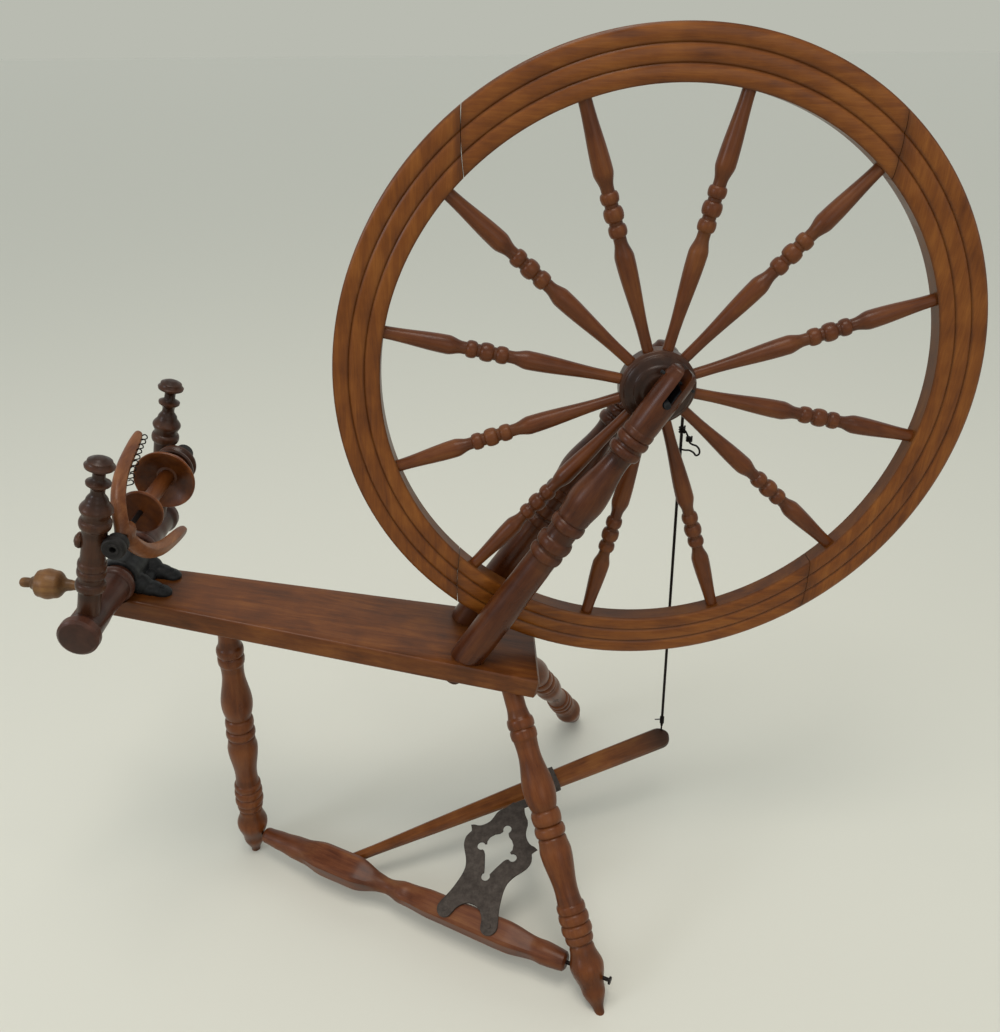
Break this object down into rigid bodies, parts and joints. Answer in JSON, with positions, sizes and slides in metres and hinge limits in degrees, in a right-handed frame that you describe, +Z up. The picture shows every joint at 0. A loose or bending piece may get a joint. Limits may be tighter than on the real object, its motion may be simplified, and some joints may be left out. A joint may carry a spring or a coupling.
{
  "type": "spinning wheel",
  "caption": "Treadle spinning wheel with a slanted table, turned legs, a large spoked drive wheel, and a tilting head that carries a flyer and bobbin.",
  "frame": {"origin": "centre of the left foot's sole on the floor", "axes": "+X runs along the table towards the drive wheel, +Y from the spinner's side to the back, +Z up"},
  "size_m": [1.1734, 0.5734, 1.1158],
  "materials": {
    "table_wood": "golden brown varnish, worn at the edges",
    "turned_red_wood": "red-brown varnish, satin",
    "honey_wood": "honey-coloured varnish, satin",
    "spoke_wood": "orange-brown varnish, satin",
    "dark_wood": "dark umber varnish, satin",
    "maroon_wood": "maroon-brown varnish, satin",
    "pale_wood": "pale turned wood, worn smooth",
    "fork_wood": "reddish light wood, worn",
    "black_iron": "blackened iron, dull",
    "worn_steel": "worn iron, polished by use"
  },
  "bodies": {
    "stand": {"table": "table_wood", "left_leg": "turned_red_wood", "front_leg": "turned_red_wood", "rear_leg": "turned_red_wood", "front_post": "turned_red_wood", "rear_post": "turned_red_wood", "front_liner": "black_iron", "rear_liner": "black_iron", "front_keeper": "black_iron", "rear_keeper": "black_iron", "saddle_strap": "black_iron", "near_saddle_nail": "black_iron", "far_saddle_nail": "black_iron", "left_treadle_pin": "black_iron", "right_treadle_pin": "black_iron"},
    "clamp": {"clamp_screw": "black_iron", "clamp_handle": "pale_wood"},
    "drive_wheel": {"hub": "dark_wood", "axle_crank": "black_iron", "felloe_1": "honey_wood", "felloe_2": "honey_wood", "felloe_3": "honey_wood", "felloe_4": "honey_wood", "spoke_01": "spoke_wood", "spoke_02": "spoke_wood", "spoke_03": "spoke_wood", "spoke_04": "spoke_wood", "spoke_05": "spoke_wood", "spoke_06": "spoke_wood", "spoke_07": "spoke_wood", "spoke_08": "spoke_wood", "spoke_09": "spoke_wood", "spoke_10": "spoke_wood", "spoke_11": "spoke_wood", "spoke_12": "spoke_wood"},
    "treadle": {"treadle_rail": "turned_red_wood", "treadle_arm": "honey_wood", "treadle_plate": "black_iron", "left_plate_nail": "black_iron", "right_plate_nail": "black_iron"},
    "footman": {"footman": "black_iron"},
    "head": {"mother_of_all": "maroon_wood", "near_upright": "dark_wood", "far_upright": "dark_wood", "near_bearing": "black_iron", "far_bearing": "black_iron"},
    "flyer": {"flyer_spindle": "worn_steel", "flyer_fork": "fork_wood", "flyer_whorl": "dark_wood"},
    "bobbin": {"bobbin": "fork_wood"}
  },
  "joints": [
    {"name": "wheel_spin", "type": "hinge", "parent": "stand", "child": "drive_wheel", "pos_m": [0.56127, 0, 0.74081], "axis": [0, 1, 0], "continuous": true},
    {"name": "treadle_rock", "type": "hinge", "parent": "stand", "child": "treadle", "pos_m": [0.00145, 0, 0.04], "axis": [0.8844, -0.4668, 0], "range_deg": [-5, 15.5]},
    {"name": "footman_swing", "type": "hinge", "parent": "treadle", "child": "footman", "pos_m": [0.62662, 0.0658, 0.1559], "axis": [0.8844, -0.4668, 0], "range_deg": [-22, 7.2]},
    {"name": "head_tilt", "type": "hinge", "parent": "stand", "child": "head", "pos_m": [-0.10117, 0, 0.50547], "axis": [0.0298, 0.9995, -0.0068], "range_deg": [-4, 6]},
    {"name": "clamp_turn", "type": "hinge", "parent": "stand", "child": "clamp", "pos_m": [-0.11781, 0, 0.47736], "axis": [-0.9945, 0, 0.1045], "range_deg": [-90, 90]},
    {"name": "flyer_spin", "type": "hinge", "parent": "head", "child": "flyer", "pos_m": [-0.0448, -0.00096, 0.61224], "axis": [0.0298, 0.9995, -0.0068], "continuous": true},
    {"name": "bobbin_spin", "type": "hinge", "parent": "flyer", "child": "bobbin", "pos_m": [-0.0448, -0.00096, 0.61224], "axis": [0.0298, 0.9995, -0.0068], "continuous": true}
  ],
  "couplings": [
    {"joint": "footman_swing", "follows": "treadle_rock", "ratio": -1.4}
  ]
}
